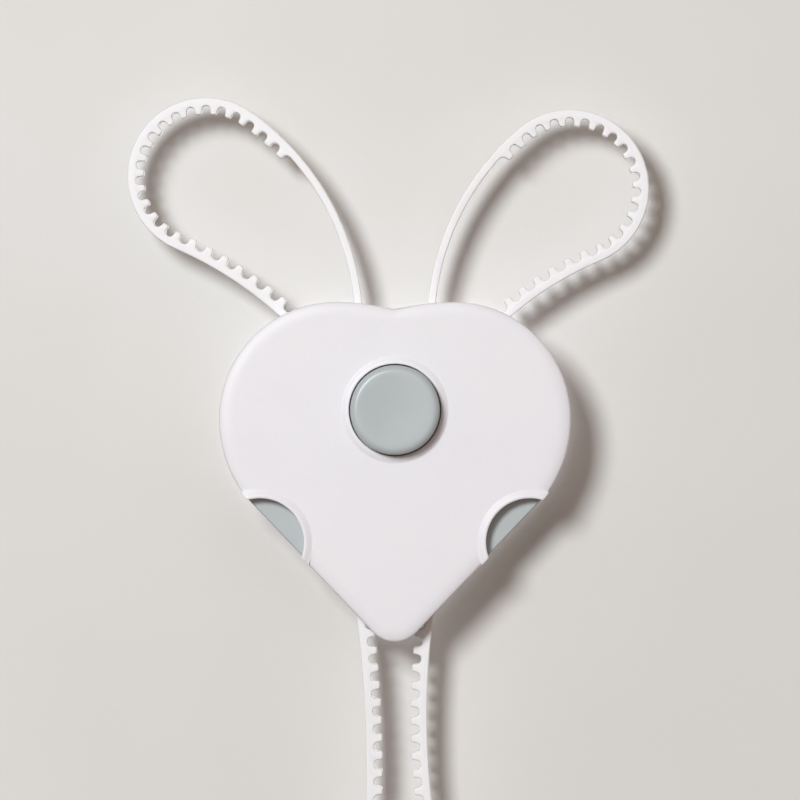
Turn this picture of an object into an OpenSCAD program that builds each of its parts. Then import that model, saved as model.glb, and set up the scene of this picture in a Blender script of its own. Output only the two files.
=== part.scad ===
// Cabinet safety lock: a heart-shaped ratchet body with two adjustable toothed straps that loop
// round a pair of door knobs. Millimetres. X right, Z up, the front faces -Y, and the origin is on
// the door face under the centre of the round button. Modules are drawn flat, with x right, y up
// and h towards the viewer, and are stood upright at the end.

/* [Body] */
// Width across the two lobes
body_w = 70.4; // [62:0.2:84]
// Thickness from the door face to the front face
body_h = 18; // [16.5:0.5:24]
// Height of the widest line over the button axis
widest_y = -1.8; // [-4:0.2:1]
// Radius of each upper lobe
upper_lobe_r = 23.4; // [20:0.2:27]
// Radius of each flank below the widest line
lower_lobe_r = 25.6; // [22:0.2:29]
// Radius of the shallow arcs beside the notch
top_r = 46; // [38:1:60]
// Radius in the notch between the lobes
notch_r = 3; // [1.5:0.5:6]
// Radius of the bottom tip
tip_r = 5.8; // [5:0.2:8]
// Height of the bottom tip
tip_y = -46.4; // [-52:0.2:-44]
// Height of the seam between the two covers
seam_h = 6.8; // [6:0.1:7.5]
// Wall of both covers
wall = 1.8; // [1.4:0.1:2.2]
// Floor of the rear cover
floor_t = 2; // [1.5:0.1:2.4]
// Width of the rounded front edge
front_edge_w = 2.8; // [1.5:0.1:3.4]
// Drop of the rounded front edge
front_edge_h = 0.7; // [0.4:0.1:1.6]
// Rounding of the rear edge
rear_edge_r = 1.2; // [0.5:0.1:1.6]
// Rounding of the inner edge of the collar and of the scallop rims
lip_r = 0.4; // [0.2:0.05:0.6]

/* [Round button] */
// Diameter of the cap
button_d = 17.9; // [16:0.1:19.5]
// Radial gap between cap and cover
button_gap = 0.3; // [0.2:0.05:0.4]
// Height of the cap over the front face
button_proud = 4.4; // [3.4:0.1:5.4]
// Rounding of the cap edge
button_edge_r = 1.3; // [0.6:0.1:1.8]
// Width of the flange that keeps the cap in
flange_w = 1.4; // [1:0.1:1.8]
// Thickness of that flange
flange_t = 1.1; // [0.8:0.1:1.3]
// Wall and roof of the cap
button_wall = 1.5; // [1.2:0.1:2]
// Width of the raised collar round the cap
collar_w = 1.7; // [1.2:0.1:2.2]
// Height of the collar over the front face
collar_h = 0.4; // [0.3:0.1:0.8]
// Radius of the hub under the cap
hub_r = 3; // [2.8:0.1:3.4]
// Height of the hub shoulder the spring stands on
hub_h = 8; // [7.2:0.1:8.8]
// Radius of the spigot inside the spring
spigot_r = 1.6; // [1.2:0.1:1.8]
// Length of that spigot
spigot_l = 3; // [2:0.1:4]

/* [Side buttons] */
// Distance of each scallop centre from the button axis
scallop_d = 37.8; // [36.6:0.1:39]
// Angle of the scallop centre below the horizontal
scallop_a = 44.4; // [42:0.1:46]
// Radius of each scallop
scallop_r = 8.8; // [8:0.1:9.6]
// Width of the raised rim round a scallop
rim_w = 1.9; // [1.4:0.1:2.4]
// Height of that rim over the front face
rim_h = 0.4; // [0.2:0.1:0.8]
// Reach of the rim ends past the body edge
rim_reach = 0.2; // [0.1:0.05:0.5]
// Width of the side button
cap_w = 17; // [15:0.2:18.4]
// Depth of the side button's thick part
cap_depth = 4.6; // [4:0.1:5]
// Inset of the pressing face from the line of the body edge
cap_inset = 0.15; // [0:0.05:0.5]
// Drop of the button's front below the front face
cap_drop = 3; // [2.6:0.1:3.6]
// Reach of the tongue that closes the scallop behind
tongue_l = 4.4; // [3.6:0.1:5]
// Thickness of that tongue
tongue_t = 1.4; // [1:0.1:1.6]

/* [Latch sliders] */
// Width of the slider bar
bar_w = 8; // [7:0.2:9]
// Depth the bar sits in the side button
bar_socket = 3; // [2:0.1:3.4]
// Distance of the bar's inner end from the button axis
bar_in_r = 8.4; // [8:0.1:9]
// Width of one pawl finger
pawl_w = 0.55; // [0.4:0.05:0.6]
// Depth a finger reaches into a strap notch
pawl_bite = 1.1; // [0.8:0.05:1.2]
// Length of the pawl block along the strap
pawl_l = 8.6; // [8:0.1:9]
// Radius of the spring bore in the bar
bore_r = 1.7; // [1.6:0.05:1.75]
// Depth of that bore
bore_l = 3; // [2.4:0.1:3.6]

/* [Straps] */
// Depth of the strap, door side to front
strap_w = 5; // [4:0.1:5.2]
// Thickness of the strap band
strap_t = 1.6; // [1.3:0.1:1.8]
// Height of a rack tooth
tooth_h = 1.7; // [1.5:0.1:1.9]
// Pitch of the rack
tooth_p = 3.5; // [3.3:0.05:3.7]
// Width of a rack notch
notch_w = 1.75; // [1.65:0.05:1.85]
// Rounding of a tooth corner
tooth_edge = 0.25; // [0.1:0.05:0.3]
// Rounding at the root of a notch
root_r = 0.5; // [0.2:0.05:0.6]
// Distance of the guide from the axis where the strap leaves the body
exit_x = 6.85; // [6.6:0.05:7.4]
// Height where the strap leaves the body
exit_y = -41.8; // [-44:0.1:-40]
// Tilt of the guide from the vertical
guide_tilt = 7; // [6:0.2:7.6]
// Length of the straight guide
guide_l = 48.7; // [47:0.1:50]
// Radius of the bend where the strap enters the body
entry_r = 9; // [8:0.1:10.5]
// Turn of that bend
entry_turn = 32.4; // [29:0.2:36]
// Radius of each loop
loop_r = 15; // [13.5:0.1:16.5]
// Left loop centre, distance from the axis
left_loop_x = 37.9; // [35:0.1:41]
// Left loop centre, height
left_loop_y = 46.9; // [44:0.1:50]
// Right loop centre, distance from the axis
right_loop_x = 35.2; // [32:0.1:38]
// Right loop centre, height
right_loop_y = 44.5; // [41:0.1:48]
// Distance of each anchor pin from the axis
anchor_x = 6.9; // [6.2:0.1:7.6]
// Height of each anchor pin
anchor_y = 15.3; // [14.6:0.1:16]
// Tilt of the strap at its anchor
anchor_tilt = 4.5; // [2:0.1:7]
// Straight length of strap above its anchor
anchor_l = 5.2; // [4:0.1:6.4]
// Length of strap without teeth, from its anchor up
bare_l = 38.3; // [30:0.1:44]
// Radius of the eyelet
eyelet_r = 2.6; // [2.3:0.1:2.8]
// Radius of the anchor pin
pin_r = 1.2; // [1:0.05:1.4]
// Length of each hanging tail below the guide
tail_l = 64; // [45:1:90]
// Turn of the left tail along its length
left_tail_turn = 14.5; // [12:0.5:20]
// Turn of the right tail along its length
right_tail_turn = 23; // [18:0.5:26]

/* [Springs and screws] */
// Wire of the release springs
release_wire = 0.45; // [0.35:0.05:0.5]
// Mean radius of the release springs
release_coil_r = 1.2; // [1.1:0.05:1.25]
// Turns of a release spring
release_turns = 6; // [4:1:7]
// Wire of the round button's spring
press_wire = 0.6; // [0.4:0.05:0.7]
// Mean radius of the round button's spring
press_coil_r = 2.4; // [2.2:0.05:2.5]
// Turns of the round button's spring
press_turns = 6; // [4:1:7]
// Radius of a screw shank
screw_r = 1.1; // [0.9:0.05:1.2]
// Radius of a screw head
screw_head_r = 2.1; // [1.8:0.1:2.3]
// Depth of the countersunk head
screw_head_l = 1.1; // [0.9:0.05:1.3]
// Length of a screw
screw_l = 12; // [9:0.5:13]
// Radius of a screw boss
boss_r = 2.6; // [2.4:0.1:3]
// Distance of the side screws from the axis
side_screw_x = 27; // [26:0.1:28.5]
// Height of the side screws
side_screw_y = 3; // [1:0.1:5]
// Height of the top screw
top_screw_y = 14.6; // [14.2:0.1:15.2]
// Height of the bottom screw
bottom_screw_y = -33.5; // [-35:0.1:-32]

/* [Hidden] */
$fn = 64;
// Overrun of every cut
over = 1;
// Gap of sliding faces
slide_gap = 0.3;
// Gap of assembled faces that do not move
seat_gap = 0.05;
// Depth that the foot of the collar and of a rim sinks into the front face
foot_sink = 0.01;
// Width of ribs and of the guide fences
rib_w = 1.1;
// Start of the guide fences above and below the slider line, and their foot over the exit
upper_fence_l = 6;
lower_fence_l = 13;
fence_foot = 8;
// Gap of the strap in the slots of the front cover, and the lengths of these slots along it
slot_gap = 0.5;
entry_slot_l = 17.5;
anchor_slot_l = 7;
exit_slot_l = 9;
// Points of each arc of the outline and of the edge rounding
notch_n = 4;
top_n = 4;
lobe_n = 18;
flank_n = 10;
tip_n = 12;
edge_n = 5;
// Rings per turn and sides of the spring wire
coil_n = 8;
wire_n = 6;
// Reach and width of a screw's cross recess as shares of its head and shank
recess_share = 0.55;
slot_share = 0.3;
// Half width of a spring seat as a share of the spring bore, start of the slider ribs as a share of
// the tongue, and place of a pawl finger as a share of its notch
seat_share = 0.65;
tongue_share = 0.65;
finger_share = 0.25;

// Heart outline
lobe_x = body_w / 2 - upper_lobe_r;
flank_x = body_w / 2 - lower_lobe_r;
lobe_c = [lobe_x, widest_y];
flank_c = [flank_x, widest_y];
tip_c = [0, tip_y + tip_r];
top_c = [lobe_x, widest_y + upper_lobe_r - top_r];
notch_c = [0, top_c[1] + sqrt(pow(top_r + notch_r, 2) - pow(lobe_x, 2))];
notch_turn = asin(lobe_x / (top_r + notch_r));
flank_v = flank_c - tip_c;
// Direction the straight lower edge faces, which is also the line of the side button
side_a = atan2(flank_v[1], flank_v[0]) - acos((tip_r - lower_lobe_r) / norm(flank_v));
side_d = tip_c[1] * sin(side_a) + tip_r;

function arc(c, r, a0, a1, n, first = 0) =
    [for (i = [first:n]) let (a = a0 + (a1 - a0) * i / n) c + r * [cos(a), sin(a)]];

function half_heart(d) = concat(
    arc(notch_c, notch_r + d, -90, notch_turn - 90, notch_n),
    arc(top_c, top_r - d, 90 + notch_turn, 90, top_n, 1),
    arc(lobe_c, upper_lobe_r - d, 90, 0, lobe_n, 1),
    arc(flank_c, lower_lobe_r - d, 0, side_a, flank_n, 1),
    arc(tip_c, tip_r - d, side_a, -90, tip_n));

// Whole outline set in by d, clockwise from the notch
function heart(d) = let (p = half_heart(d), n = len(p))
    concat(p, [for (i = [n - 2:-1:1]) [-p[i][0], p[i][1]]]);

// Solid through outlines given as [inset, height], lowest first
module heart_stack(levels) {
    n = len(heart(0));
    m = len(levels);
    points = [for (l = levels) for (p = heart(l[0])) [p[0], p[1], l[1]]];
    sides = [for (i = [0:m - 2]) for (j = [0:n - 1]) let (k = (j + 1) % n)
        [i * n + j, i * n + k, (i + 1) * n + k, (i + 1) * n + j]];
    base = [[for (j = [n - 1:-1:0]) j]];
    lid = [[for (j = [0:n - 1]) (m - 1) * n + j]];
    polyhedron(points, concat(base, sides, lid));
}

module heart_slab(d, h0, h1) {
    translate([0, 0, h0]) linear_extrude(h1 - h0) polygon(heart(d));
}

// Levels of the parts along the thickness
roof_h = body_h - wall;
strap_h0 = seam_h + (slide_gap - seat_gap);
strap_h1 = strap_h0 + strap_w;
bar_h0 = floor_t + slide_gap;
bar_h1 = strap_h0 - slide_gap;
bar_mid = (bar_h0 + bar_h1) / 2;
pawl_h = strap_h1 - slide_gap;
cap_h0 = bar_h0;
cap_h1 = body_h - cap_drop;
button_h = body_h + button_proud;
button_r = button_d / 2;
flange_h1 = roof_h - slide_gap / 2;
flange_h0 = flange_h1 - flange_t;
flange_r = button_r + flange_w;
bore_roof = button_h - button_wall;

// Radii along a side button's line, from the button axis
cap_out = side_d - cap_inset;
cap_in = cap_out - cap_depth;
tongue_in = cap_in - tongue_l;
bar_out = cap_in + bar_socket;
seat_r = hub_r + slide_gap;

// Strap path of one side, drawn for the right hand: unit vectors and tangent arcs
function dir(a) = [cos(a), sin(a)];
function angle_of(v) = atan2(v[1], v[0]);
function wrap(a) = a - 360 * floor(a / 360);

guide_a = 90 - guide_tilt;
exit_p = [exit_x, exit_y];
guide_top = exit_p + guide_l * dir(guide_a);
branch_a = guide_a - entry_turn;
entry_end = guide_top + entry_r * (dir(guide_a - 90) - dir(branch_a - 90));
anchor_p = [anchor_x, anchor_y];
anchor_a = 90 - anchor_tilt;
anchor_end = anchor_p + anchor_l * dir(anchor_a);

// Radius of the arc that leaves p along a heading with normal n and touches the loop
function outer_touch(p, n, c) =
    ((p - c) * (p - c) - pow(loop_r, 2)) / (2 * (loop_r - n * (p - c)));
function inner_touch(p, n, c) =
    ((p - c) * (p - c) - pow(loop_r, 2)) / (2 * (-loop_r - n * (p - c)));

// Pieces of the path as [length, turn], from the free end of the tail up to the anchor
function strap_legs(c, tail_turn) = let (
    n1 = dir(branch_a - 90),
    r1 = outer_touch(entry_end, n1, c),
    q1 = entry_end + r1 * n1,
    t1 = angle_of(sign(r1) * (q1 - c)),
    from1 = angle_of(entry_end - q1),
    turn1 = r1 > 0 ? wrap(from1 - t1 - 180) : -wrap(t1 - from1),
    n2 = dir(anchor_a - 90),
    r2 = inner_touch(anchor_end, n2, c),
    q2 = anchor_end + r2 * n2,
    t2 = angle_of(c - q2),
    turn2 = wrap(angle_of(anchor_end - q2) - t2),
    turn3 = wrap(t2 - t1))
    [[tail_l, -tail_turn], [guide_l, 0], [entry_r * entry_turn * PI / 180, -entry_turn],
     [r1 * turn1 * PI / 180, -turn1], [loop_r * turn3 * PI / 180, turn3],
     [r2 * turn2 * PI / 180, turn2], [anchor_l, 0]];

// State [x, y, heading] after a piece of path
function go(st, leg) = leg[1] == 0
    ? [st[0] + leg[0] * cos(st[2]), st[1] + leg[0] * sin(st[2]), st[2]]
    : let (r = leg[0] / (leg[1] * PI / 180), a = st[2] + leg[1])
      [st[0] + r * (sin(a) - sin(st[2])), st[1] + r * (cos(st[2]) - cos(a)), a];

function walk(st, legs, s, i = 0) = s <= legs[i][0] || i == len(legs) - 1
    ? go(st, [s, legs[i][1] * s / legs[i][0]])
    : walk(go(st, legs[i]), legs, s - legs[i][0], i + 1);

function tail_start(tail_turn) = let (
    st = go([exit_x, exit_y, guide_a + 180], [tail_l, tail_turn]))
    [st[0], st[1], st[2] - 180];

// Point at length s along the path and n towards the inside of the loop
function spot(st, legs, s, n) = let (p = walk(st, legs, s))
    [p[0] - n * sin(p[2]), p[1] + n * cos(p[2])];

function sum_to(legs, k, i = 0) = i >= k ? 0 : legs[i][0] + sum_to(legs, k, i + 1);

// Crossing of guide and slider line, and the latch phase of the rack
up_v = dir(guide_a);
side_v = dir(side_a);
cross_r = cross(exit_p, up_v) / cross(side_v, up_v);
cross_l = (cross_r * side_v - exit_p) * up_v;
latch_s = tail_l + cross_l;
// The tail reaches up to the first whole notch at the top of the guide
guide_notches = ceil((guide_l - cross_l) / tooth_p);
split_s = latch_s + guide_notches * tooth_p;
band_n = strap_t / 2;
tip_n0 = band_n + tooth_h;

// One notch of the rack, from high to low length
notch_pts = [[notch_w / 2 + tooth_edge, tip_n0], [notch_w / 2, tip_n0 - tooth_edge],
    [notch_w / 2, band_n + root_r], [notch_w / 2 - root_r, band_n],
    [root_r - notch_w / 2, band_n], [-notch_w / 2, band_n + root_r],
    [-notch_w / 2, tip_n0 - tooth_edge], [-notch_w / 2 - tooth_edge, tip_n0]];

// Strap outline from length s0 to s1 with rack teeth up to length s_rack
module strap_shape(c, tail_turn, s0, s1, s_rack) {
    st = tail_start(tail_turn);
    legs = strap_legs(c, tail_turn);
    step = tooth_p / 2;
    n_back = ceil((s1 - s0) / step);
    back = [for (i = [0:n_back]) spot(st, legs, s0 + (s1 - s0) * i / n_back, -band_n)];
    s_top = min(s1, s_rack);
    mouth = notch_w / 2 + tooth_edge;
    k0 = ceil((s0 + mouth - latch_s) / tooth_p - 1 / 2);
    k1 = floor((s_top - mouth - latch_s) / tooth_p - 1 / 2);
    s_end = s_top < s1 ? latch_s + (k1 + 3 / 2) * tooth_p - notch_w / 2 : s1;
    n_bare = ceil((s1 - s_end) / step);
    bare = s_top < s1
        ? [for (i = [n_bare:-1:1]) spot(st, legs, s_end + (s1 - s_end) * i / n_bare, band_n)] : [];
    root = s_top < s1 ? [spot(st, legs, s_end, band_n)] : [];
    rack = [for (k = [k1:-1:k0]) for (p = notch_pts)
        spot(st, legs, latch_s + (k + 1 / 2) * tooth_p + p[0], p[1])];
    polygon(concat(back, bare, root, [spot(st, legs, s_end, tip_n0)], rack,
        [spot(st, legs, s0, tip_n0)]));
}

// Plain band along the path, used for the slots the strap passes through
module strap_lane(c, tail_turn, s0, s1, n0, n1) {
    st = tail_start(tail_turn);
    legs = strap_legs(c, tail_turn);
    m = ceil((s1 - s0) / tooth_p);
    polygon(concat([for (i = [0:m]) spot(st, legs, s0 + (s1 - s0) * i / m, n0)],
        [for (i = [m:-1:0]) spot(st, legs, s0 + (s1 - s0) * i / m, n1)]));
}

left_c = [left_loop_x, left_loop_y];
right_c = [right_loop_x, right_loop_y];
function side_c(left) = left ? left_c : right_c;
function side_turn(left) = left ? left_tail_turn : right_tail_turn;

// The left hand is drawn as the mirror image of the right
module on_side(left) {
    mirror([left ? 1 : 0, 0, 0]) children();
}

// Axes of a side button: x outward from the button axis, y across, h towards the viewer
module on_slider(left) {
    on_side(left) rotate([0, 0, side_a]) children();
}

// Axes of the guide: x up along the strap from the latch, y towards the middle
module on_guide(left) {
    on_side(left) translate(cross_r * side_v) rotate([0, 0, guide_a]) children();
}

module both_sides() {
    for (left = [false, true]) on_side(left) children();
}

module box(x0, x1, y0, y1, h0, h1) {
    translate([x0, y0, h0]) cube([x1 - x0, y1 - y0, h1 - h0]);
}

module post(r, h0, h1) {
    translate([0, 0, h0]) cylinder(r = r, h = h1 - h0);
}

// Ring whose crest, rise over the front face, has a rounded inner edge and runs out softly outside
module swell(r0, r1, h0, rise) {
    h1 = body_h + rise;
    run = r1 - r0 - lip_r;
    slope = [for (i = [0:2 * edge_n]) let (t = i / (2 * edge_n))
        [r1 - run * t, h1 - (rise + foot_sink) * (1 + cos(180 * t)) / 2]];
    rotate_extrude() polygon(concat([[r1, h0]], slope,
        arc([r0 + lip_r, h1 - lip_r], lip_r, 90, 180, edge_n, 1), [[r0, h0]]));
}

screw_spots = [[side_screw_x, side_screw_y], [-side_screw_x, side_screw_y],
    [0, top_screw_y], [0, bottom_screw_y]];
module at_screws() {
    for (p = screw_spots) translate(p) children();
}

// Lengths along the guide where its fences stand, clear of the slider
upper_fence = [upper_fence_l, guide_l - cross_l - over];
lower_fence = [fence_foot - cross_l, -lower_fence_l];
// The tail's top can stand in the entry bend, so the upper fence keeps back from it
tail_bend = (split_s - tail_l - guide_l) / entry_r * 180 / PI;
upper_back = entry_r * (1 - cos(tail_bend)) + band_n * cos(tail_bend) + slide_gap;
lower_back = band_n + slide_gap;

module rests(n, h0, h1) {
    box(upper_fence[0], upper_fence[1], -n, n, h0, h1);
    box(lower_fence[0], lower_fence[1], -n, n, h0, h1);
}

module fences(h0, h1) {
    box(upper_fence[0], upper_fence[1], -upper_back - rib_w, -upper_back, h0, h1);
    box(lower_fence[0], lower_fence[1], -lower_back - rib_w, -lower_back, h0, h1);
}

// Openings of a cover for one side button and its slider
module cap_window(h0, h1) {
    box(cap_in - over, side_d + over, -cap_w / 2 - slide_gap, cap_w / 2 + slide_gap, h0, h1);
}

// Front cover: rounded heart shell, collar, scallops with rims, bosses and strap slots
front_levels = concat([[0, seam_h]], [for (i = [0:edge_n]) let (a = 90 * i / edge_n)
    [front_edge_w * (1 - cos(a)), body_h - front_edge_h * (1 - sin(a))]]);

module scallop_rim() {
    intersection() {
        rotate([0, 0, -scallop_a]) translate([scallop_d, 0, 0])
            swell(scallop_r - 2 * seat_gap, scallop_r + rim_w, cap_h1, rim_h);
        heart_slab(-rim_reach, 0, body_h + over);
    }
}

module front_bores() {
    post(button_r + button_gap, seam_h, body_h + collar_h + over);
    both_sides() rotate([0, 0, -scallop_a]) translate([scallop_d, 0, 0])
        post(scallop_r, seam_h - over, body_h + over);
    at_screws() post(screw_r + seat_gap, seam_h - over, screw_l + over);
    both_sides() translate(anchor_p) post(pin_r + seat_gap, seam_h, roof_h - over + seat_gap);
}

module strap_slots() {
    for (left = [false, true]) on_side(left) {
        legs = strap_legs(side_c(left), side_turn(left));
        s_in = sum_to(legs, 3);
        s_up = sum_to(legs, 6);
        translate([0, 0, seam_h - over]) linear_extrude(strap_h1 + slide_gap - seam_h + over) {
            strap_lane(side_c(left), side_turn(left), s_in, s_in + entry_slot_l,
                -band_n - slot_gap, tip_n0 + slot_gap);
            strap_lane(side_c(left), side_turn(left), s_up - anchor_slot_l, s_up + wall + over,
                -band_n - slot_gap, band_n + slot_gap);
            strap_lane(side_c(left), side_turn(left), tail_l - exit_slot_l, tail_l + exit_slot_l,
                -band_n - slot_gap, tip_n0 + slot_gap);
        }
    }
}

module front_cover() {
    color([0.91, 0.90, 0.91]) difference() {
        union() {
            difference() {
                heart_stack(front_levels);
                heart_slab(wall, seam_h - over, roof_h);
            }
            swell(button_r + button_gap / 2, button_r + button_gap + collar_w, roof_h, collar_h);
            both_sides() scallop_rim();
            at_screws() post(boss_r, seam_h, roof_h + seat_gap);
            both_sides() translate(anchor_p) post(boss_r, strap_h1 + slide_gap, roof_h + seat_gap);
            for (left = [false, true]) on_guide(left)
                rests(rib_w / 2, strap_h1 + slide_gap, roof_h + seat_gap);
        }
        front_bores();
        for (left = [false, true]) on_slider(left) cap_window(seam_h - over, cap_h1 + slide_gap);
        strap_slots();
    }
}

// Rear cover: tray with hub, spring seats, slider channels, strap guides and bosses
rear_levels = concat([for (i = [0:edge_n]) let (a = 90 * i / edge_n)
    [rear_edge_r * (1 - sin(a)), rear_edge_r * (1 - cos(a))]], [[0, seam_h]]);

module rear_cover() {
    color([0.89, 0.88, 0.89]) difference() {
        union() {
            difference() {
                heart_stack(rear_levels);
                heart_slab(wall, floor_t, seam_h + over);
            }
            post(hub_r, floor_t - seat_gap, hub_h);
            post(spigot_r, hub_h - seat_gap, hub_h + spigot_l);
            at_screws() post(boss_r, floor_t - seat_gap, seam_h);
            both_sides() translate(anchor_p) post(boss_r, floor_t - seat_gap, seam_h);
            for (left = [false, true]) on_slider(left) {
                box(0, seat_r, -bore_r * seat_share, bore_r * seat_share, floor_t - seat_gap, bar_h1);
                for (m = [0, 1]) mirror([0, m, 0])
                    box(cross_r + bar_w / 2, cap_in - tongue_l * tongue_share, bar_w / 2 + slide_gap,
                        bar_w / 2 + slide_gap + rib_w, floor_t - seat_gap, bar_h1);
            }
            for (left = [false, true]) on_guide(left) {
                rests(band_n, floor_t - seat_gap, seam_h);
                fences(floor_t - seat_gap, strap_h1 - over);
            }
        }
        at_screws() {
            post(screw_r + 2 * seat_gap, -over, seam_h + over);
            translate([0, 0, -seat_gap]) cylinder(r1 = screw_head_r + 2 * seat_gap,
                r2 = screw_r + 2 * seat_gap, h = screw_head_l + 2 * seat_gap);
        }
        both_sides() translate(anchor_p) post(pin_r + seat_gap, floor_t - over, seam_h + over);
        for (left = [false, true]) on_slider(left) cap_window(floor_t, seam_h + over);
    }
}

// Four countersunk screws with a cross recess
module cover_screws() {
    color([0.62, 0.63, 0.65]) at_screws() difference() {
        union() {
            cylinder(r1 = screw_head_r, r2 = screw_r, h = screw_head_l);
            post(screw_r, screw_head_l - seat_gap, screw_l);
        }
        for (a = [0, 90]) rotate([0, 0, a])
            box(-screw_head_r * recess_share, screw_head_r * recess_share,
                -screw_r * slot_share, screw_r * slot_share, -over, screw_head_l * recess_share);
    }
}

// Round button: hollow cap with a flange below and a spring sleeve inside
module centre_button() {
    sleeve_r = press_coil_r + press_wire / 2 + slide_gap;
    color([0.70, 0.72, 0.73]) {
        rotate_extrude() polygon(concat([[0, button_h]],
            arc([button_r - button_edge_r, button_h - button_edge_r], button_edge_r, 90, 0, edge_n),
            [[button_r, flange_h1], [flange_r, flange_h1], [flange_r, flange_h0],
             [button_r - button_wall, flange_h0], [button_r - button_wall, bore_roof],
             [sleeve_r + rib_w, bore_roof], [sleeve_r + rib_w, flange_h1],
             [sleeve_r, flange_h1], [sleeve_r, bore_roof], [0, bore_roof]]));
    }
}

// Coil wound from h0 to h1 as one unbroken tube
module coil(r, wire, turns, h0, h1) {
    n = turns * coil_n;
    w = wire / 2;
    rise = h1 - h0 - wire;
    points = [for (i = [0:n]) for (j = [0:wire_n - 1])
        let (a = 360 * i / coil_n, b = 360 * j / wire_n, q = r + w * cos(b))
        [q * cos(a), q * sin(a), h0 + w + rise * i / n + w * sin(b)]];
    sides = [for (i = [0:n - 1]) for (j = [0:wire_n - 1]) let (k = (j + 1) % wire_n)
        for (t = [0, 1]) t == 0
            ? [i * wire_n + j, i * wire_n + k, (i + 1) * wire_n + k]
            : [i * wire_n + j, (i + 1) * wire_n + k, (i + 1) * wire_n + j]];
    ends = [[for (j = [wire_n - 1:-1:0]) j], [for (j = [0:wire_n - 1]) n * wire_n + j]];
    polyhedron(points, concat(sides, ends));
}

module centre_button_spring() {
    color([0.55, 0.56, 0.58])
        coil(press_coil_r, press_wire, press_turns, hub_h + seat_gap, bore_roof - seat_gap);
}

// Side button: thick pressing face, tongue behind the scallop, socket for the slider
module release_button(left) {
    color([0.72, 0.74, 0.74]) on_slider(left) difference() {
        union() {
            box(cap_in, cap_out, -cap_w / 2, cap_w / 2, cap_h0, cap_h1);
            box(tongue_in, cap_in + over, -cap_w / 2, cap_w / 2, cap_h1 - tongue_t, cap_h1);
        }
        box(cap_in - over, bar_out + seat_gap, -bar_w / 2 - seat_gap, bar_w / 2 + seat_gap,
            cap_h0 - over, bar_h1 + seat_gap);
    }
}

// Latch slider: bar under the strap, pawl block beside the rack and two fingers in its notches
pawl_n = tip_n0 + slide_gap;
lean = guide_a - side_a;
function on_bar(s, n) = [cross_r, 0] + s * dir(lean) + n * dir(lean + 90);

module latch_slider(left) {
    reach = (pawl_bite + slide_gap) / sin(lean);
    color([0.93, 0.92, 0.88]) on_slider(left) difference() {
        union() {
            box(bar_in_r, bar_out, -bar_w / 2, bar_w / 2, bar_h0, bar_h1);
            translate([0, 0, bar_h0]) linear_extrude(pawl_h - bar_h0) {
                polygon([on_bar(-pawl_l + tooth_p / 2, pawl_n), on_bar(tooth_p / 2, pawl_n),
                    [bar_in_r, on_bar(tooth_p / 2, pawl_n)[1]], [bar_in_r, -bar_w / 2],
                    [on_bar(-pawl_l + tooth_p, pawl_n)[0] - tooth_p,
                        on_bar(-pawl_l + tooth_p / 2, pawl_n)[1]]]);
                for (k = [0, 1])
                    translate(on_bar(notch_w * finger_share - (k + 1 / 2) * tooth_p, pawl_n))
                    translate([-over, -pawl_w / 2]) square([reach + over, pawl_w]);
            }
        }
        translate([bar_in_r - over, 0, bar_mid]) rotate([0, 90, 0])
            cylinder(r = bore_r, h = bore_l + over);
    }
}

module release_spring(left) {
    color([0.55, 0.56, 0.58]) on_slider(left) translate([0, 0, bar_mid]) rotate([0, 90, 0])
        coil(release_coil_r, release_wire, release_turns, seat_r + seat_gap,
            bar_in_r + bore_l - seat_gap);
}

// Straps: a fixed loop from the anchor pin round the knob, and the tail that runs in the guide
module strap_loop(left) {
    legs = strap_legs(side_c(left), side_turn(left));
    total = sum_to(legs, 7);
    color([0.92, 0.91, 0.90]) on_side(left) translate([0, 0, strap_h0])
        linear_extrude(strap_w) difference() {
            union() {
                strap_shape(side_c(left), side_turn(left), split_s + seat_gap, total,
                    total - bare_l);
                translate(anchor_p) circle(r = eyelet_r);
            }
            translate(anchor_p) circle(r = pin_r + seat_gap);
        }
}

module strap_tail(left) {
    color([0.92, 0.91, 0.90]) on_side(left) translate([0, 0, strap_h0]) linear_extrude(strap_w)
        strap_shape(side_c(left), side_turn(left), 0, split_s - seat_gap, split_s + tooth_p);
}

module anchor_pin(left) {
    color([0.62, 0.63, 0.65]) on_side(left) translate(anchor_p)
        post(pin_r, floor_t - over + seat_gap, roof_h - over);
}

// Flat drawing stood upright
module upright() {
    rotate([90, 0, 0]) children();
}

upright() front_cover();
upright() rear_cover();
upright() cover_screws();
upright() centre_button();
upright() centre_button_spring();
upright() release_button(true);  // left_release_button
upright() release_button(false);  // right_release_button
upright() latch_slider(true);  // left_latch_slider
upright() latch_slider(false);  // right_latch_slider
upright() release_spring(true);  // left_release_spring
upright() release_spring(false);  // right_release_spring
upright() strap_loop(true);  // left_strap_loop
upright() strap_loop(false);  // right_strap_loop
upright() strap_tail(true);  // left_strap_tail
upright() strap_tail(false);  // right_strap_tail
upright() anchor_pin(true);  // left_anchor_pin
upright() anchor_pin(false);  // right_anchor_pin
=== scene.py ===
import cmath
import math

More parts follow.
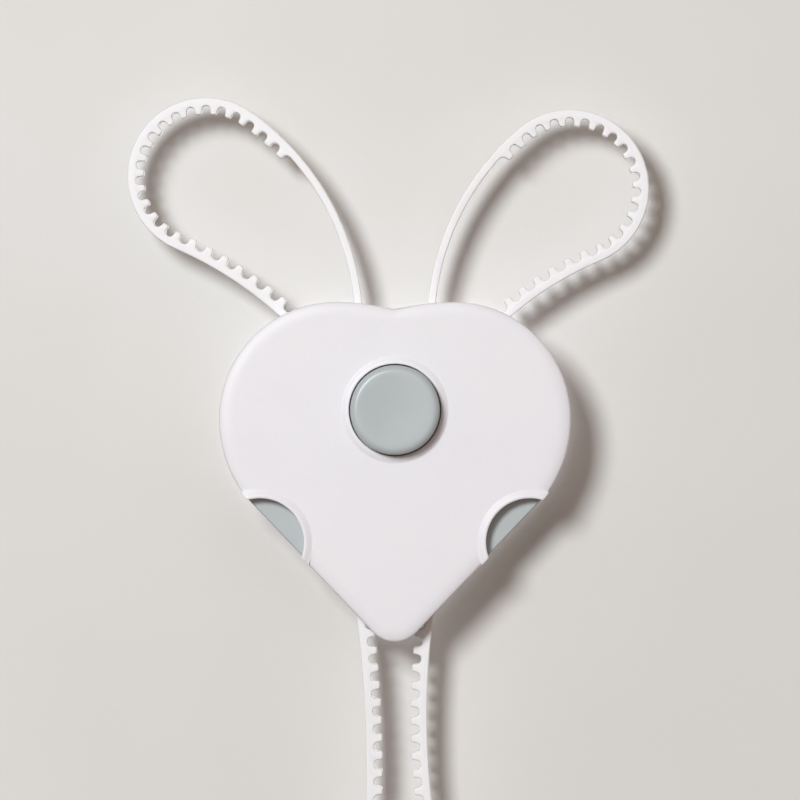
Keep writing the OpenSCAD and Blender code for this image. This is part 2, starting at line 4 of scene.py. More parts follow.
import bmesh
import bpy
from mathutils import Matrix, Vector


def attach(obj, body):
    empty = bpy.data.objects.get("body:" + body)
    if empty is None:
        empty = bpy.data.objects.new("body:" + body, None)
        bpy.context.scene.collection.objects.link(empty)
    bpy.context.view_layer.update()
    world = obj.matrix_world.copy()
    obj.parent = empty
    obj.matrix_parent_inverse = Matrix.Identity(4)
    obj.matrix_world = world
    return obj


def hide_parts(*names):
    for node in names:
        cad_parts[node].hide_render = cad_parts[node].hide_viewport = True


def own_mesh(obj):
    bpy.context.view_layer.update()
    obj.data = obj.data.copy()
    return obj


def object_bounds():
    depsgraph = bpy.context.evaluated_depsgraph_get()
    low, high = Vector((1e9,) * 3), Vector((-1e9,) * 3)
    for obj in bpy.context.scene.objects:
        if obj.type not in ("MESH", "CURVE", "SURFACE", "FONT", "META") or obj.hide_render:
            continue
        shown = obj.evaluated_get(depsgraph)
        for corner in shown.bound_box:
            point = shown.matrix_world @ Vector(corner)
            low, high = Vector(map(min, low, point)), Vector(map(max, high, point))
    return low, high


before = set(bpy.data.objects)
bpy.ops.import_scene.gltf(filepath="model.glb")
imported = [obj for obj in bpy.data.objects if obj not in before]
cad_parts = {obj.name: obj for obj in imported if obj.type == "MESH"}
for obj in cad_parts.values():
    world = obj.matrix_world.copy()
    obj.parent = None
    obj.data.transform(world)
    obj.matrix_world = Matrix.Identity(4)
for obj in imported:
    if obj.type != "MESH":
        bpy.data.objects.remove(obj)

CAD_LO, CAD_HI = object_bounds()
MM = 0.001


def unit(degrees):
    """Unit vector in a direction given in degrees."""
    return cmath.rect(1.0, math.radians(degrees))


def heading_of(vector):
    """Direction of a vector in degrees."""
    return math.degrees(cmath.phase(vector))


def dot(a, b):
    """Scalar product of two vectors."""
    return (a * b.conjugate()).real


# Sizes in millimetres and degrees, after the CAD source: x right, y up, h towards the viewer.
# Points and vectors of the flat drawing are complex numbers. Sides are drawn for the right hand.

# Body, and the scallop rims that stand out past its edge
BODY_W = 70.4
BODY_H = 18.0
SEAM_H = 6.8
WIDEST_Y = -1.8
LOBE_R = 23.4
FLANK_R = 25.6
TIP_R = 5.8
TIP_Y = -46.4
LOBE_C = complex(BODY_W / 2 - LOBE_R, WIDEST_Y)
FLANK_C = complex(BODY_W / 2 - FLANK_R, WIDEST_Y)
TIP_C = complex(0.0, TIP_Y + TIP_R)
RIM_REACH = 0.2
RIM_FOOT_H = 15.0

# Direction that the straight lower edge faces, and its distance from the button axis
FLANK_SPAN = FLANK_C - TIP_C
SIDE_A = heading_of(FLANK_SPAN) - math.degrees(math.acos((TIP_R - FLANK_R) / abs(FLANK_SPAN)))
SIDE_D = dot(TIP_C, unit(SIDE_A)) + TIP_R

# Round button: cap with a dished face, flange behind the cover, sleeve for the spring
BUTTON_R = 8.95
BUTTON_H = 22.4
BUTTON_EDGE = 1.3
BUTTON_WALL = 1.5
BUTTON_DISH = 0.20
DISH_POWER = 1.5
FLANGE_R = 10.35
FLANGE_H = (14.95, 16.05)
SLEEVE_R = 3.0
SLEEVE_W = 1.1

# Strap section and rack
STRAP_H = (7.05, 12.05)
STRAP_T = 1.6
STRAP_EDGE = 0.28
STRAP_END_R = 0.45
TOOTH_H = 1.7
TOOTH_P = 3.5
TOOTH_LEAD_R = 0.40
NOTCH_MOUTH = 1.06
NOTCH_ROOT = 0.82
NOTCH_HOLLOW_R = 0.86
RACK_END_R = 1.1

# Strap path: tail, guide, entry bend, loop round the knob, anchor
EXIT = complex(6.85, -41.8)
GUIDE_A = 83.0
GUIDE_L = 48.7
ENTRY_R = 9.0
ENTRY_TURN = 32.4
LOOP_R = 15.0
LOOP_C = {"left": complex(37.9, 46.9), "right": complex(35.2, 44.5)}
TAIL_TURN = {"left": 14.5, "right": 23.0}
TAIL_L = 64.0
BARE_L = 38.3
ANCHOR = complex(6.9, 15.3)
ANCHOR_A = 85.5
ANCHOR_L = 5.2
EYELET_R = 2.6
EYELET_BORE = 1.25
SEAT_GAP = 0.05

# Travels and springs
FEED_TRAVEL = 21.0
PRESS_SPRING = {"r": 2.4, "wire": 0.6, "low": 8.05, "high": 20.85}
RELEASE_SPRING = {"r": 1.2, "wire": 0.45, "low": 3.35, "high": 11.35}
RELEASE_SPRING_H = 4.525
COIL_TURNS = 7.5
COIL_CLOSED = 1.0

# Fine edge breaks, and the length from which the edge of a squeeze button is rounded
SEAM_BREAK = 0.12
SQUEEZE_EDGE = 0.35
LONG_EDGE = 3.0
SCREW_BREAK = 0.08
SLIDER_BREAK = 0.12
PIN_BREAK = 0.12

# Steps of rounded forms
LATHE_TURNS = 128
EYELET_TURNS = 48
DISH_RINGS = 10
BUTTON_EDGE_STEPS = 8
COIL_RINGS = 28
COIL_SIDES = 10
FILLET_STEPS = 5
SLAB_STEPS = 3
STRAP_STEP = 0.7
SEAM_STEPS = 2
SQUEEZE_STEPS = 3
BREAK_STEPS = 2

# Angles between faces: joined as flat, rounded by soften, shaded as sharp, broken by dress
FLAT_ANGLE = 0.4
ROUNDED_ANGLE = 30.0
SHARP_ANGLE = 35.0
BROKEN_ANGLE = 40.0

# Tolerances in millimetres, and bounds for normals of length one
WELD = 0.002
SAME = 0.001
ON_SEAM = 0.01
ON_RIM_END = 0.03
OVER_RIM_FOOT = 0.05
UPRIGHT = 0.3
OUTWARD = 0.6


# Materials

def srgb(r, g, b):
    """A colour given as 0-255 display values, in linear light."""
    def lin(v):
        v /= 255.0
        return v / 12.92 if v <= 0.04045 else ((v + 0.055) / 1.055) ** 2.4
    return (lin(r), lin(g), lin(b), 1.0)


class Nodes:
    """Shorthand for building the node tree of a material or of the world."""

    def __init__(self, owner, output):
        owner.use_nodes = True
        self.owner = owner
        self.tree = owner.node_tree
        self.tree.nodes.clear()
        self.surface = self.add(output).inputs["Surface"]

    def add(self, kind, inputs=None, **settings):
        """A new node. Each input is a plain value or an output to link."""
        node = self.tree.nodes.new(kind)
        for key, value in settings.items():
            setattr(node, key, value)
        for key, value in (inputs or {}).items():
            self.feed(value, node.inputs[key])
        return node

    def feed(self, value, socket):
        """Links an output to a socket, or sets the socket to a plain value."""
        if isinstance(value, bpy.types.NodeSocket):
            self.tree.links.new(value, socket)
        else:
            socket.default_value = value

    def show(self, shader):
        """Makes a shader the surface, and returns the material or world."""
        self.feed(shader, self.surface)
        return self.owner

    def noise(self, scale, detail=3.0, rough=0.55, stretch=None):
        """Noise in object space."""
        place = self.add("ShaderNodeTexCoord").outputs["Object"]
        if stretch:
            mapping = self.add("ShaderNodeMapping", {"Vector": place, "Scale": stretch})
            place = mapping.outputs["Vector"]
        node = self.add("ShaderNodeTexNoise", {
            "Vector": place, "Scale": scale, "Detail": detail, "Roughness": rough})
        return node.outputs["Fac"]

    def ramp(self, source, low=0.0, high=1.0, start=0.0, end=1.0):
        """Maps a value from low..high to start..end, held at the ends."""
        node = self.add("ShaderNodeMapRange", {
            "Value": source, "From Min": low, "From Max": high, "To Min": start, "To Max": end})
        return node.outputs["Result"]

    def calc(self, operation, a, b):
        return self.add("ShaderNodeMath", {0: a, 1: b}, operation=operation).outputs["Value"]

    def mix(self, factor, a, b):
        """Colour between a and b."""
        node = self.add("ShaderNodeMix", data_type="RGBA")
        for key, value in (("Factor", factor), ("A", a), ("B", b)):
            self.feed(value, next(s for s in node.inputs if s.name == key and s.enabled))
        return next(s for s in node.outputs if s.enabled)

    def mix_shader(self, factor, a, b):
        return self.add("ShaderNodeMixShader", {"Fac": factor, 1: a, 2: b}).outputs["Shader"]

    def bump(self, height, strength, distance, normal=None):
        """Normal with relief, on top of another one if given; distance in metres."""
        node = self.add("ShaderNodeBump", {
            "Height": height, "Strength": strength, "Distance": distance})
        if normal is not None:
            self.feed(normal, node.inputs["Normal"])
        return node.outputs["Normal"]

    def principled(self, colour, rough, normal, metallic=0.0, specular=0.5, sub=0.0):
        node = self.add("ShaderNodeBsdfPrincipled", {
            "Base Color": colour, "Roughness": rough, "Normal": normal,
            "Metallic": metallic, "Specular IOR Level": specular, "Subsurface Weight": sub,
            "Subsurface Radius": (1.0, 0.8, 0.7), "Subsurface Scale": 0.0012})
        return node.outputs["BSDF"]

    def seen_rays(self):
        """1 for rays that look at a thing, directly or by reflection, and 0 for others."""
        path = self.add("ShaderNodeLightPath").outputs
        seen = self.calc("MAXIMUM", path["Is Camera Ray"], path["Is Glossy Ray"])
        return self.calc("MAXIMUM", seen, path["Is Transmission Ray"])


def material_nodes(name):
    return Nodes(bpy.data.materials.new(name), "ShaderNodeOutputMaterial")


def moulded(name, tone, tint, rough, grain, specular=0.5, sub=0.0):
    """Injection-moulded plastic: spark-eroded grain, soft flow mottling and a few fine scuffs."""
    n = material_nodes(name)
    flow = n.ramp(n.noise(scale=60.0, detail=4.0, rough=0.6), low=0.32, high=0.68)
    speck = n.ramp(n.noise(scale=2600.0, detail=2.0, rough=0.5), low=0.58, high=0.75)
    scuffs = n.ramp(n.noise(scale=240.0, detail=5.0, rough=0.75, stretch=(1.0, 1.0, 0.07)),
                    low=0.66, high=0.78)
    grains = n.noise(scale=3400.0, detail=2.0, rough=0.6)
    waves = n.noise(scale=90.0, detail=2.0, rough=0.5)
    speck_grey = (0.5, 0.5, 0.5, 1.0)
    scuff_grey = (0.35, 0.34, 0.33, 1.0)
    colour = n.mix(flow, tone, tint)
    colour = n.mix(n.ramp(speck, end=0.06), colour, speck_grey)
    colour = n.mix(n.ramp(scuffs, end=0.025), colour, scuff_grey)
    gloss = n.calc("ADD", n.ramp(flow, start=rough - 0.05, end=rough + 0.05),
                   n.ramp(scuffs, end=0.06))
    normal = n.bump(grains, strength=0.10 * grain, distance=0.0002)
    normal = n.bump(waves, strength=0.05, distance=0.0006, normal=normal)
    normal = n.bump(scuffs, strength=0.03, distance=0.0001, normal=normal)
    return n.show(n.principled(colour, gloss, normal, specular=specular, sub=sub))


def steel(name, tone, tint, rough, stretch=None):
    """Drawn or plated steel: fine streaks, long ones where stretched, and faint tarnish."""
    n = material_nodes(name)
    streak = n.noise(scale=900.0, rough=0.6, stretch=stretch)
    tarnish = n.ramp(n.noise(scale=300.0, detail=4.0, rough=0.65), low=0.45, high=0.75)
    colour = n.mix(tarnish, tone, tint)
    gloss = n.ramp(streak, low=0.25, high=0.75, start=rough - 0.08, end=rough + 0.10)
    normal = n.bump(streak, strength=0.12, distance=0.0001)
    return n.show(n.principled(colour, gloss, normal, metallic=1.0))


COVER = moulded("cover_plastic", srgb(229, 226, 231), srgb(232, 229, 233), rough=0.46, grain=1.0,
                specular=0.45, sub=0.06)
BUTTON = moulded("button_plastic", srgb(174, 180, 182), srgb(180, 185, 186), rough=0.36, grain=0.8)
STRAP = moulded("strap_plastic", srgb(237, 235, 237), srgb(240, 238, 240), rough=0.50, grain=0.7,
                specular=0.4, sub=0.15)
LATCH = moulded("latch_plastic", srgb(232, 228, 214), srgb(226, 222, 208), rough=0.42, grain=0.6)
SPRING = steel("spring_steel", srgb(196, 198, 201), srgb(168, 168, 168), rough=0.30)
FIXING = steel("fixing_steel", srgb(205, 206, 206), srgb(186, 184, 176), rough=0.28,
               stretch=(1.0, 0.1, 1.0))


# Mesh helpers

def at(x, y, h):
    """A point of the flat drawing, in the shared frame."""
    return Vector((x, -h, y)) * MM


def new_piece(name, bm, material, body, replaced):
    """Makes a mesh a piece of the scene, which rides on a body in place of CAD nodes."""
    bmesh.ops.recalc_face_normals(bm, faces=bm.faces)
    bm.normal_update()
    for face in bm.faces:
        face.smooth = True
    for edge in bm.edges:
        gentle = edge.calc_face_angle(0.0) <= math.radians(SHARP_ANGLE)
        edge.smooth = len(edge.link_faces) == 2 and gentle
    mesh = bpy.data.meshes.new(name)
    bm.to_mesh(mesh)
    bm.free()
    mesh.materials.append(material)
    obj = bpy.data.objects.new(name, mesh)
    bpy.context.scene.collection.objects.link(obj)
    weighted = obj.modifiers.new("weighted", "WEIGHTED_NORMAL")
    weighted.keep_sharp = True
    weighted.weight = 80
    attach(obj, body)
    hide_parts(*replaced)
    return obj


def refill(bm, h):
    """Fills the flat at height h again from its border, so that no triangle lies folded on it."""
    def level(v):
        return abs(-v.co.y / MM - h) < SAME
    old = [f for f in bm.faces if all(level(v) for v in f.verts)]
    bmesh.ops.delete(bm, geom=old, context="FACES_ONLY")
    bmesh.ops.delete(bm, geom=[e for e in bm.edges if e.is_wire], context="EDGES")
    border = [e for e in bm.edges if e.is_boundary and all(level(v) for v in e.verts)]
    bmesh.ops.triangle_fill(bm, use_beauty=True, edges=border)


def cad_copy(node, flats=()):
    """A node's mesh with its triangles joined into flat faces, ready for edge work.

    The flats at the given heights are filled again."""
    bm = bmesh.new()
    bm.from_mesh(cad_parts[node].data)
    for face in bm.faces:
        face.material_index = 0
    bmesh.ops.remove_doubles(bm, verts=bm.verts, dist=WELD * MM)
    bmesh.ops.dissolve_degenerate(bm, edges=bm.edges, dist=SAME * MM)
    for h in flats:
        refill(bm, h)
    bmesh.ops.dissolve_limit(bm, angle_limit=math.radians(FLAT_ANGLE), verts=bm.verts,
                             edges=bm.edges)
    return bm


def soften(bm, pick, width, segments):
    """Rounds the edges that pick accepts.

    It gets an edge's two ends, as (point, h) of the flat drawing, and its two faces."""
    chosen = []
    for edge in bm.edges:
        turn = edge.calc_face_angle(0.0)
        if len(edge.link_faces) != 2 or turn < math.radians(ROUNDED_ANGLE):
            continue
        ends = [(complex(v.co.x, v.co.z) / MM, -v.co.y / MM) for v in edge.verts]
        if pick(ends, edge.link_faces):
            chosen.append(edge)
    bmesh.ops.bevel(bm, geom=chosen, offset=width * MM, offset_type="OFFSET", segments=segments,
                    profile=0.5, affect="EDGES", clamp_overlap=False)


def skin(bm, rings):
    """Joins closed rings of points in turn; a ring on an axis is a single point."""
    count = max(len(ring) for ring in rings)
    for a, b in zip(rings, rings[1:]):
        for i in range(count):
            j = (i + 1) % count
            corners = [a[i % len(a)], a[j % len(a)], b[j % len(b)], b[i % len(b)]]
            bm.faces.new(list(dict.fromkeys(corners)))


def lathe(bm, profile, centre=0j, turns=LATHE_TURNS):
    """Surface of revolution of a profile of (r, h) about a centre of the flat drawing."""
    rings = []
    for r, h in profile:
        spots = [centre]
        if r >= SAME:
            spots = [centre + r * unit(360.0 * i / turns) for i in range(turns)]
        rings.append([bm.verts.new(at(p.real, p.imag, h)) for p in spots])
    skin(bm, rings)


def arc(cx, cy, r, a0, a1, count):
    """Points of an arc from angle a0 to angle a1."""
    angles = [math.radians(a0 + (a1 - a0) * i / count) for i in range(count + 1)]
    return [(cx + r * math.cos(a), cy + r * math.sin(a)) for a in angles]


def coil(bm, place, r, wire, low, high):
    """Compression spring from low to high with closed end turns.

    place maps (u, v, along) to the shared frame."""
    w = wire / 2
    rise = high - low - wire
    closed = wire * COIL_CLOSED
    open_turns = COIL_TURNS - 2 * COIL_CLOSED
    count = round(COIL_TURNS * COIL_RINGS)
    rings = []
    for i in range(count + 1):
        t = COIL_TURNS * i / count
        if t < COIL_CLOSED:
            climb = wire * t
        elif t > COIL_TURNS - COIL_CLOSED:
            climb = rise - wire * (COIL_TURNS - t)
        else:
            climb = closed + (rise - 2 * closed) * (t - COIL_CLOSED) / open_turns
        turn = unit(360.0 * t)
        ring = []
        for j in range(COIL_SIDES):
            side = w * unit(360.0 * j / COIL_SIDES)
            p = (r + side.real) * turn
            ring.append(bm.verts.new(place(p.real, p.imag, low + w + climb + side.imag)))
        rings.append(ring)
    skin(bm, rings)
    bm.faces.new(rings[0])
    bm.faces.new(rings[-1])


# Strap path

# A leg that turns by fewer degrees than this is straight
STRAIGHT = 1e-9
# Search for the share of its height that a fed loop keeps
SHRINK_STEPS = 400
KEEP_RANGE = (0.3, 1.0)
HALVINGS = 30


def go(point, heading, length, turn):
    """Point and heading at the end of a leg that turns evenly over its length."""
    if abs(turn) < STRAIGHT:
        return point + length * unit(heading), heading
    r = length / math.radians(turn)
    after = heading + turn
    return point + r * (unit(after) - unit(heading)) / 1j, after


def touching_arc(end, heading, centre, r):
    """Radius and centre of the arc that has heading at its end and touches a circle.

    r is the circle's radius, negative for a circle that lies inside the arc's own circle."""
    normal = unit(heading - 90)
    off = end - centre
    radius = (abs(off) ** 2 - r ** 2) / (2 * (r - dot(normal, off)))
    return radius, end + radius * normal


class Strap:
    """Centre line of one strap as legs of (length, turn), from its free end to the anchor."""

    def __init__(self, side):
        centre, tail_turn = LOOP_C[side], TAIL_TURN[side]
        branch = GUIDE_A - ENTRY_TURN
        top = EXIT + GUIDE_L * unit(GUIDE_A)
        entry_end = top + ENTRY_R * (unit(GUIDE_A - 90) - unit(branch - 90))
        r1, c1 = touching_arc(entry_end, branch, centre, LOOP_R)
        a1 = heading_of(c1 - centre)
        turn1 = (heading_of(entry_end - c1) - a1 - 180) % 360
        anchor_end = ANCHOR + ANCHOR_L * unit(ANCHOR_A)
        r2, c2 = touching_arc(anchor_end, ANCHOR_A, centre, -LOOP_R)
        a2 = heading_of(centre - c2)
        turn2 = (heading_of(anchor_end - c2) - a2) % 360
        loop_turn = (a2 - a1) % 360
        self.legs = [(TAIL_L, -tail_turn), (GUIDE_L, 0.0),
                     (ENTRY_R * math.radians(ENTRY_TURN), -ENTRY_TURN),
                     (r1 * math.radians(turn1), -turn1),
                     (LOOP_R * math.radians(loop_turn), loop_turn),
                     (r2 * math.radians(turn2), turn2), (ANCHOR_L, 0.0)]
        self.total = sum(length for length, _ in self.legs)
        point, heading = go(EXIT, GUIDE_A + 180, TAIL_L, tail_turn)
        self.start = (point, heading - 180)
        self.mirror = -1 if side == "left" else 1
        # Length at which the latch meets the rack; teeth are counted from there
        across, up = unit(SIDE_A), unit(GUIDE_A)
        cross = (EXIT.conjugate() * up).imag / (across.conjugate() * up).imag
        self.latch = TAIL_L + dot(cross * across - EXIT, up)
        # Length at which the tail ends and the loop begins, whole teeth above the latch
        guide_teeth = math.ceil((TAIL_L + GUIDE_L - self.latch) / TOOTH_P)
        self.split = self.latch + TOOTH_P * guide_teeth

    def spot(self, s, n):
        """Point at length s, n towards the inside of the loop."""
        point, heading = self.start
        for i, (length, turn) in enumerate(self.legs):
            if s <= length or i == len(self.legs) - 1:
                point, heading = go(point, heading, s, turn * s / length)
                break
            point, heading = go(point, heading, length, turn)
            s -= length
        point += n * 1j * unit(heading)
        return complex(point.real * self.mirror, point.imag)

    def shrink(self):
        """Anchor, axis and keep of the squash that takes the fed length out of the loop.

        The length is measured where the loop is clear of the body."""
        span = self.total - self.split
        points = [self.spot(self.split + span * i / SHRINK_STEPS, 0.0)
                  for i in range(SHRINK_STEPS + 1)]
        lobe = complex(LOBE_C.real * self.mirror, LOBE_C.imag)
        outside = [p for p in points if abs(p - lobe) > LOBE_R]
        first, last = outside[0], outside[-1]
        axis = 1j * (first - last) / abs(first - last) * self.mirror

        def length(keep):
            flat = [p - (1 - keep) * dot(p - first, axis) * axis for p in outside]
            return sum(abs(b - a) for a, b in zip(flat, flat[1:]))
        low, high = KEEP_RANGE
        for _ in range(HALVINGS):
            keep = (low + high) / 2
            if length(keep) > length(1.0) - FEED_TRAVEL:
                high = keep
            else:
                low = keep
        return first, axis, keep


# Strap outline and plate

# Half angle in degrees above which a corner is left as it is
UNBENT = 89.5
# Least square of the sum of two unit normals, which keeps corner points from running far in
MITRE_LEAST = 0.6


def filleted(corners):
    """Outline of corners (s, n, radius), each rounded with its radius."""
    out = []
    count = len(corners)
    for i, (s, n, radius) in enumerate(corners):
        p = complex(s, n)
        a = complex(*corners[i - 1][:2]) - p
        b = complex(*corners[(i + 1) % count][:2]) - p
        half = abs(cmath.phase(b / a)) / 2
        if radius <= 0 or half > math.radians(UNBENT):
            out.append(p)
            continue
        a, b = a / abs(a), b / abs(b)
        centre = p + (a + b) / abs(a + b) * radius / math.sin(half)
        first = p + a * radius / math.tan(half) - centre
        sweep = cmath.phase((p + b * radius / math.tan(half) - centre) / first)
        out += [centre + first * cmath.rect(1.0, sweep * k / FILLET_STEPS)
                for k in range(FILLET_STEPS + 1)]
    return out


def strap_outline(strap, s0, s1, rack_to):
    """Closed outline of a strap: rounded rack on the inside, plain band outside."""
    band, tip = STRAP_T / 2, STRAP_T / 2 + TOOTH_H
    top = min(s1, rack_to)
    first = math.ceil((s0 + NOTCH_MOUTH - strap.latch) / TOOTH_P - 0.5)
    last = math.floor((top - NOTCH_MOUTH - strap.latch) / TOOTH_P - 0.5)
    if top < s1:
        flank = strap.latch + (last + 1.5) * TOOTH_P
        last_r = STRAP_END_R
        corners = [(s1, band, last_r), (flank - NOTCH_ROOT, band, RACK_END_R),
                   (flank - NOTCH_MOUTH, tip, TOOTH_LEAD_R)]
    else:
        last_r = 0.0
        corners = [(s1, tip, last_r)]
    for k in range(last, first - 1, -1):
        c = strap.latch + (k + 0.5) * TOOTH_P
        corners += [(c + NOTCH_MOUTH, tip, TOOTH_LEAD_R), (c + NOTCH_ROOT, band, NOTCH_HOLLOW_R),
                    (c - NOTCH_ROOT, band, NOTCH_HOLLOW_R), (c - NOTCH_MOUTH, tip, TOOTH_LEAD_R)]
    corners += [(s0, tip, STRAP_END_R), (s0, -band, STRAP_END_R), (s1, -band, last_r)]
    out = []
    rounded = filleted(corners)
    for i, p in enumerate(rounded):
        q = rounded[(i + 1) % len(rounded)]
        parts = max(1, math.ceil(abs(q - p) / STRAP_STEP))
        out += [p + (q - p) * k / parts for k in range(parts)]
    return [strap.spot(p.real, p.imag) for p in out]


def inset(outline, d):
    """Outline moved inwards by d along its corner normals."""
    count = len(outline)
    area = sum((outline[i - 1].conjugate() * outline[i]).imag for i in range(count))
    turn = 1j if area > 0 else -1j
    out = []
    for i, p in enumerate(outline):
        a, b = p - outline[i - 1], outline[(i + 1) % count] - p
        m = turn * (a / abs(a) + b / abs(b))
        out.append(p + d * m * 2 / max(abs(m) ** 2, MITRE_LEAST))
    return out


def slab(bm, outline, low, high, edge):
    """Plate of an outline from low to high with both rims rounded."""
    levels = []
    for i in range(SLAB_STEPS + 1):
        turn = unit(90.0 * i / SLAB_STEPS)
        levels.append((edge * (1 - turn.imag), low + edge * (1 - turn.real)))
    levels += [(d, low + high - h) for d, h in reversed(levels)]
    rings = [[bm.verts.new(at(p.real, p.imag, h)) for p in inset(outline, d)] for d, h in levels]
    skin(bm, rings)
    caps = [bm.faces.new(rings[0]), bm.faces.new(rings[-1])]
    for cap in caps:
        cap.normal_update()
    bmesh.ops.triangulate(bm, faces=caps, ngon_method="EAR_CLIP")


# Camera, light and stage, in metres

scene = bpy.context.scene
scene.view_settings.view_transform = "Standard"

VIEW_C = Vector((0.001, 0.0, 0.002))
VIEW_D = 1.7
VIEW_W = 0.160
camera = bpy.data.objects.new("camera", bpy.data.cameras.new("camera"))
camera.data.sensor_width = 36.0
camera.data.lens = camera.data.sensor_width * VIEW_D / VIEW_W
camera.data.clip_start, camera.data.clip_end = 0.05, 20.0
camera.location = VIEW_C + Vector((0.0, -BODY_H * MM - VIEW_D, 0.0))
camera.rotation_euler = (math.pi / 2, 0.0, 0.0)
scene.collection.objects.link(camera)
scene.camera = camera


def lamp(name, place, size, watts, colour):
    """Round soft lamp that points at the object."""
    data = bpy.data.lights.new(name, "AREA")
    data.shape = "DISK"
    data.size = size
    data.energy = watts
    data.color = colour
    obj = bpy.data.objects.new(name, data)
    obj.location = place
    obj.rotation_euler = (-Vector(place)).to_track_quat("-Z", "Y").to_euler()
    scene.collection.objects.link(obj)


lamp("key", (-0.405, -1.21, 0.366), size=0.364, watts=14.8, colour=(0.93, 0.98, 1.0))
lamp("front_fill", (0.25, -1.5, 0.5), size=1.2, watts=1.1, colour=(1.0, 0.88, 0.80))
lamp("rear_fill", (0.4, 1.3, 0.15), size=1.2, watts=19.0, colour=(0.945, 0.995, 1.0))

sky = Nodes(bpy.data.worlds.new("studio"), "ShaderNodeOutputWorld")
ambient = sky.add("ShaderNodeBackground", {"Color": (1.0, 0.79, 0.66, 1.0), "Strength": 0.215})
backdrop = sky.add("ShaderNodeBackground", {"Color": (0.80, 0.79, 0.78, 1.0)})
scene.world = sky.show(sky.mix_shader(sky.seen_rays(), ambient.outputs["Background"],
                                      backdrop.outputs["Background"]))


def wall_paint(name, tone, tint, glow=0.0):
    """Pale satin paint that shows only from its front, so views from behind or below pass it.

    A share of glow keeps it pale where no lamp reaches."""
    n = material_nodes(name)
    colour = n.mix(n.ramp(n.noise(scale=14.0), low=0.35, high=0.65), tone, tint)
    rough = n.ramp(n.noise(scale=30.0), low=0.3, high=0.7, start=0.55, end=0.65)
    normal = n.bump(n.noise(scale=900.0, rough=0.6), strength=0.10, distance=0.0003)
    paint = n.principled(colour, rough, normal, specular=0.2)
    if glow:
        light = n.add("ShaderNodeEmission", {"Color": tone})
        paint = n.mix_shader(glow, paint, light.outputs["Emission"])
    back = n.add("ShaderNodeNewGeometry").outputs["Backfacing"]
    shown = n.calc("MULTIPLY", n.seen_rays(), n.calc("SUBTRACT", 1.0, back))
    clear = n.add("ShaderNodeBsdfTransparent").outputs["BSDF"]
    return n.show(n.mix_shader(shown, clear, paint))


def stage_sheet(name, corners, material):
    """One flat sheet of the stage."""
    mesh = bpy.data.meshes.new(name)
    mesh.from_pydata(corners, [], [(0, 1, 2, 3)])
    mesh.materials.append(material)
    obj = bpy.data.objects.new(name, mesh)
    scene.collection.objects.link(obj)


REACH = 3.0
WALL_GAP = 0.0012
FLOOR_DROP = 0.20
WALL_Y = CAD_HI.y + WALL_GAP
FLOOR_Z = CAD_LO.z - FLOOR_DROP
stage_sheet("wall", [(-REACH, WALL_Y, FLOOR_Z), (REACH, WALL_Y, FLOOR_Z),
                     (REACH, WALL_Y, REACH), (-REACH, WALL_Y, REACH)],
            wall_paint("wall_paint", srgb(221, 219, 217), srgb(219, 216, 213)))
stage_sheet("floor", [(-REACH, -REACH, FLOOR_Z), (REACH, -REACH, FLOOR_Z),
                      (REACH, REACH, FLOOR_Z), (-REACH, REACH, FLOOR_Z)],
            wall_paint("floor_paint", srgb(222, 220, 218), srgb(219, 217, 214), glow=0.75))


# Covers

def on_outer_seam(ends, faces):
    """Picks the edge where the outside wall meets the seam between the covers."""
    if any(abs(h - SEAM_H) > ON_SEAM for _, h in ends):
        return False
    middle = sum(p for p, _ in ends) / 2
    walls = [complex(f.normal.x, f.normal.z) for f in faces if abs(f.normal.y) < UPRIGHT]
    return any(dot(wall, middle / abs(middle)) > OUTWARD for wall in walls)


def on_rim_end(ends, faces):
    """Picks the border of the flat ends of the scallop rims, past the body's edge."""
    def past(p):
        p = complex(abs(p.real), p.imag)
        over_side = dot(p, unit(SIDE_A)) - SIDE_D - RIM_REACH
        over_flank = abs(p - FLANK_C) - FLANK_R - RIM_REACH
        return abs(over_side) < ON_RIM_END or abs(over_flank) < ON_RIM_END
    return all(past(p) and h > RIM_FOOT_H + OVER_RIM_FOOT for p, h in ends)


def front_cover():
    """Heart-shaped shell with its rim ends and seam broken."""
    bm = cad_copy("front_cover", [BODY_H])
    soften(bm, on_rim_end, SEAM_BREAK, SEAM_STEPS)
    soften(bm, on_outer_seam, SEAM_BREAK, SEAM_STEPS)
    new_piece("front_cover_shell", bm, COVER, "lock_body", ["front_cover"])


def rear_cover():
    """Tray against the doors with its seam broken."""
    bm = cad_copy("rear_cover", [0.0])
    soften(bm, on_outer_seam, SEAM_BREAK, SEAM_STEPS)
    new_piece("rear_cover_tray", bm, COVER, "lock_body", ["rear_cover"])


# Buttons

def round_button():
    """Cap in the collar, turned from its profile."""
    bm = bmesh.new()
    flat_r = BUTTON_R - BUTTON_EDGE
    inner_r = BUTTON_R - BUTTON_WALL
    roof = BUTTON_H - BUTTON_WALL
    shares = [k / DISH_RINGS for k in range(DISH_RINGS + 1)]
    profile = [(flat_r * k, BUTTON_H - BUTTON_DISH * (1 - k ** 2) ** DISH_POWER) for k in shares]
    profile += arc(flat_r, BUTTON_H - BUTTON_EDGE, BUTTON_EDGE, 90, 0, BUTTON_EDGE_STEPS)[1:]
    profile += [(BUTTON_R, FLANGE_H[1]), (FLANGE_R, FLANGE_H[1]), (FLANGE_R, FLANGE_H[0]),
                (inner_r, FLANGE_H[0]), (inner_r, roof), (SLEEVE_R + SLEEVE_W, roof),
                (SLEEVE_R + SLEEVE_W, FLANGE_H[1]), (SLEEVE_R, FLANGE_H[1]),
                (SLEEVE_R, roof), (0.0, roof)]
    lathe(bm, profile)
    new_piece("round_button_cap", bm, BUTTON, "round_button", ["centre_button"])


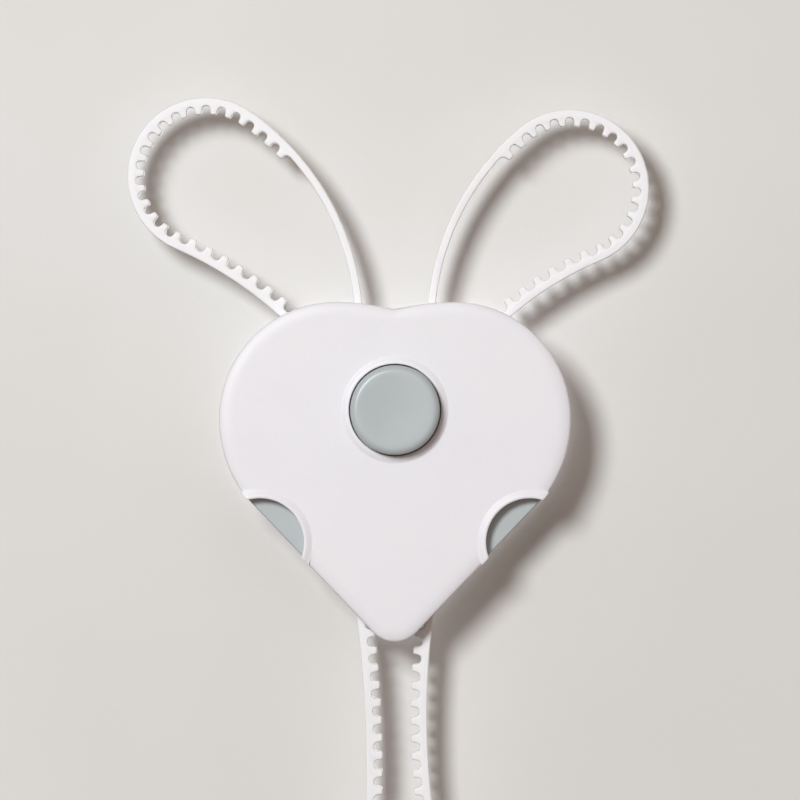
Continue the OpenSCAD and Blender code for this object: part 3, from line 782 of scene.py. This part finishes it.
def squeeze_button(name):
    """Side button with its long edges rounded."""
    def long_edge(ends, faces):
        (p, hp), (q, hq) = ends
        return math.hypot(abs(p - q), hp - hq) > LONG_EDGE
    bm = cad_copy(name + "_release_button")
    soften(bm, long_edge, SQUEEZE_EDGE, SQUEEZE_STEPS)
    new_piece(name + "_squeeze_button", bm, BUTTON, name + "_release",
              [name + "_release_button"])


# Straps

def tail_strap(name):
    """The part of a strap that runs through the latch and hangs down."""
    strap = Strap(name)
    bm = bmesh.new()
    outline = strap_outline(strap, 0.0, strap.split - SEAT_GAP, strap.split + TOOTH_P)
    slab(bm, outline, *STRAP_H, STRAP_EDGE)
    new_piece(name + "_tail_strap", bm, STRAP, name + "_tail",
              [name + "_strap_tail"])


def loop_strap(name):
    """The part of a strap round the knob. The squash for its fed tail is worked out but not put on
    the mesh.
    """
    strap = Strap(name)
    low, high = STRAP_H
    bm = bmesh.new()
    band_end = strap.total - (EYELET_R + EYELET_BORE) / 2
    outline = strap_outline(strap, strap.split + SEAT_GAP, band_end, strap.total - BARE_L)
    slab(bm, outline, low, high, STRAP_EDGE)
    eyelet = [(EYELET_BORE, low), (EYELET_R, low), (EYELET_R, high), (EYELET_BORE, high),
              (EYELET_BORE, low)]
    lathe(bm, eyelet, strap.spot(strap.total, 0.0), EYELET_TURNS)
    bmesh.ops.remove_doubles(bm, verts=bm.verts, dist=SAME * MM)
    obj = new_piece(name + "_loop_strap", bm, STRAP, "lock_body",
                    [name + "_strap_loop"])
    anchor, axis, keep = strap.shrink()
    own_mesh(obj)


# Springs and fixings

def button_spring():
    """Spring behind the round button."""
    bm = bmesh.new()
    coil(bm, at, **PRESS_SPRING)
    obj = new_piece("button_return_spring", bm, SPRING, "lock_body",
                    ["centre_button_spring"])
    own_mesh(obj)


def release_spring(name, side):
    """Spring behind a latch slider."""
    outward = unit(SIDE_A)

    def place(u, v, along):
        p = outward * complex(along, u)
        return at(p.real * side, p.imag, RELEASE_SPRING_H + v)
    bm = bmesh.new()
    coil(bm, place, **RELEASE_SPRING)
    obj = new_piece(name + "_return_spring", bm, SPRING, "lock_body",
                    [name + "_release_spring"])
    low, high = RELEASE_SPRING["low"], RELEASE_SPRING["high"]
    tuple(place(0.0, 0.0, low))
    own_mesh(obj)


def dress(node, material, edge):
    """Gives a kept CAD node its material and breaks its sharp edges."""
    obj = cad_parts[node]
    obj.data.materials.clear()
    obj.data.materials.append(material)
    weld = obj.modifiers.new("weld", "WELD")
    weld.merge_threshold = WELD * MM
    bevel = obj.modifiers.new("edges", "BEVEL")
    bevel.width = edge * MM
    bevel.segments = BREAK_STEPS
    bevel.limit_method = "ANGLE"
    bevel.angle_limit = math.radians(BROKEN_ANGLE)
    bevel.harden_normals = True


front_cover()
rear_cover()
round_button()
button_spring()
dress("cover_screws", FIXING, SCREW_BREAK)
for name, side in (("left", -1), ("right", 1)):
    squeeze_button(name)
    release_spring(name, side)
    tail_strap(name)
    loop_strap(name)
    dress(name + "_latch_slider", LATCH, SLIDER_BREAK)
    dress(name + "_anchor_pin", FIXING, PIN_BREAK)
